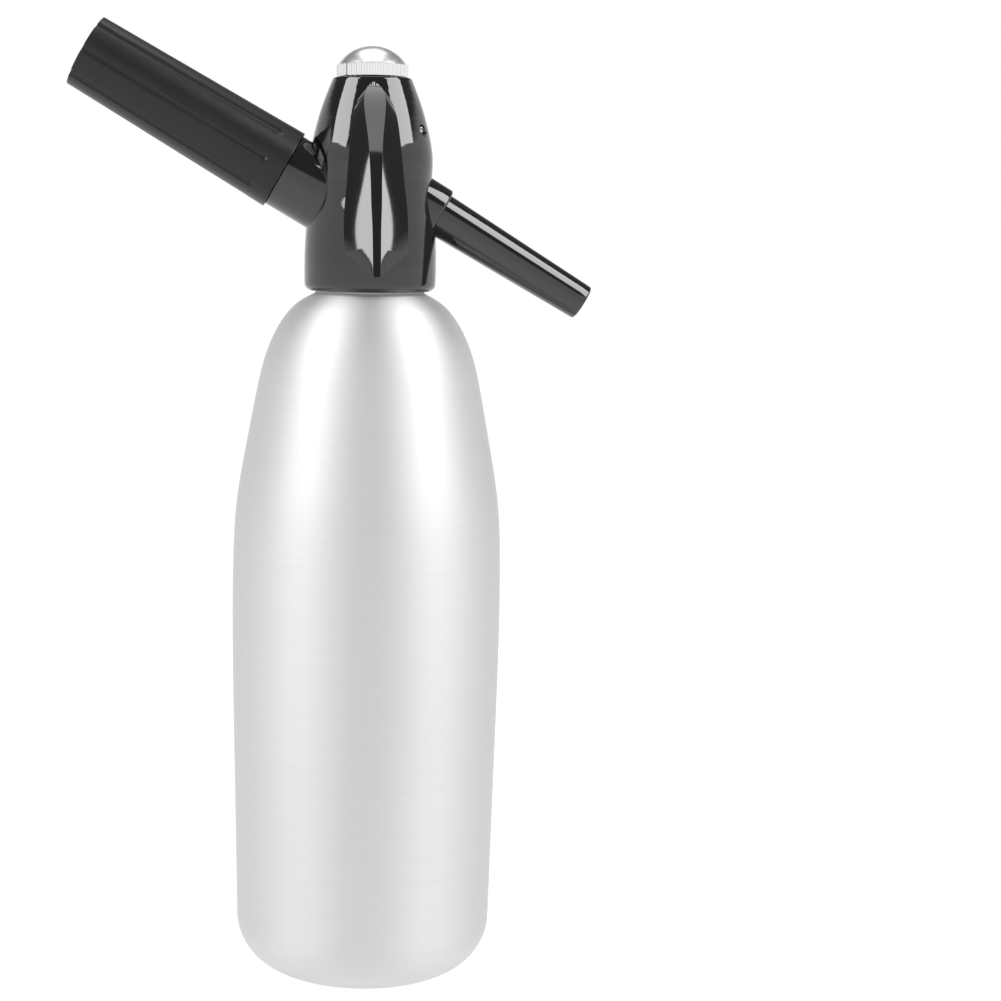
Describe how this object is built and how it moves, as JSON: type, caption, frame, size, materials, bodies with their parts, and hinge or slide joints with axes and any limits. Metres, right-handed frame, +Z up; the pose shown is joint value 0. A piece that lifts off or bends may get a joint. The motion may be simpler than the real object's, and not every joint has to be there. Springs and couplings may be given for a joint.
{
  "type": "soda siphon",
  "caption": "Aluminium soda siphon with a black head, a squeeze lever, a down-turned spout and a screw-on holder for a gas charger.",
  "frame": {"origin": "centre of the bottle's flat base, on the bottle's axis", "axes": "+Z up along the bottle's axis, +X towards the spout, -Y towards the lever"},
  "size_m": [0.1788, 0.1094, 0.3283],
  "materials": {
    "brushed_aluminium": "fine circumferential brushing",
    "black_gloss": "polished moulded black",
    "black_satin": "satin moulded black",
    "chrome": "bright plated",
    "steel": "turned steel",
    "brass": "turned brass",
    "grey_plastic": "moulded acetal",
    "clear_white": "natural tube",
    "seal_rubber": "matt seal"
  },
  "bodies": {
    "bottle": {"bottle_shell": "brushed_aluminium"},
    "neck_seal": {"neck_gasket": "seal_rubber"},
    "head": {"head_shell": "black_gloss", "neck_nut": "brass", "valve_body": "grey_plastic", "gland_ring": "seal_rubber", "spring_seat": "brass", "lever_pin": "steel", "spout_tube": "black_gloss", "spout_collar": "black_gloss", "spout_seal": "seal_rubber", "dip_tube": "clear_white", "dip_tube_seal": "seal_rubber", "charger_stub": "brass", "piercing_needle": "steel", "gas_filter": "grey_plastic", "charger_seal": "seal_rubber", "check_ball": "steel", "check_spring": "steel", "valve_spring": "steel"},
    "lever_arm": {"lever": "black_gloss"},
    "stem": {"valve_stem": "steel", "stem_seal": "seal_rubber"},
    "charger": {"gas_charger": "steel"},
    "holder": {"holder_sleeve": "brushed_aluminium", "holder_grip": "black_satin"},
    "cap_ring_seal": {"cap_seal": "seal_rubber"},
    "cap": {"knurled_cap": "chrome", "cap_dome": "chrome"}
  },
  "joints": [
    {"name": "head_rise", "type": "slide", "parent": "bottle", "child": "neck_seal", "axis": [0, 0, 1], "range_m": [0, 0.012]},
    {"name": "head_turn", "type": "hinge", "parent": "neck_seal", "child": "head", "pos_m": [0, 0, 0.25], "axis": [0, 0, 1], "range_deg": [0, 1080.01]},
    {"name": "lever_pull", "type": "hinge", "parent": "head", "child": "lever_arm", "pos_m": [0, -0.0083, 0.2923], "axis": [1, 0, 0], "range_deg": [0, 16.01], "stiffness_Nm_per_rad": 0.6, "springref_deg": -11.46},
    {"name": "valve_lift", "type": "slide", "parent": "head", "child": "stem", "axis": [0, 0, 1], "range_m": [0, 0.00232], "deforming": ["valve_spring"]},
    {"name": "holder_draw", "type": "slide", "parent": "head", "child": "charger", "axis": [-0.8652, 0, 0.5015], "range_m": [0, 0.01]},
    {"name": "holder_turn", "type": "hinge", "parent": "charger", "child": "holder", "pos_m": [0, 0, 0.2617], "axis": [-0.8652, 0, 0.5015], "range_deg": [0, 1440.01]},
    {"name": "cap_rise", "type": "slide", "parent": "head", "child": "cap_ring_seal", "axis": [0, 0, 1], "range_m": [0, 0.0025]},
    {"name": "cap_turn", "type": "hinge", "parent": "cap_ring_seal", "child": "cap", "pos_m": [0, 0, 0.31], "axis": [0, 0, 1], "range_deg": [0, 900.01]}
  ],
  "couplings": [
    {"joint": "head_turn", "follows": "head_rise", "rad_per_m": 1570.8},
    {"joint": "lever_pull", "follows": "valve_lift", "rad_per_m": 120.48},
    {"joint": "holder_turn", "follows": "holder_draw", "rad_per_m": 2513.3},
    {"joint": "cap_turn", "follows": "cap_rise", "rad_per_m": 6283.2}
  ]
}
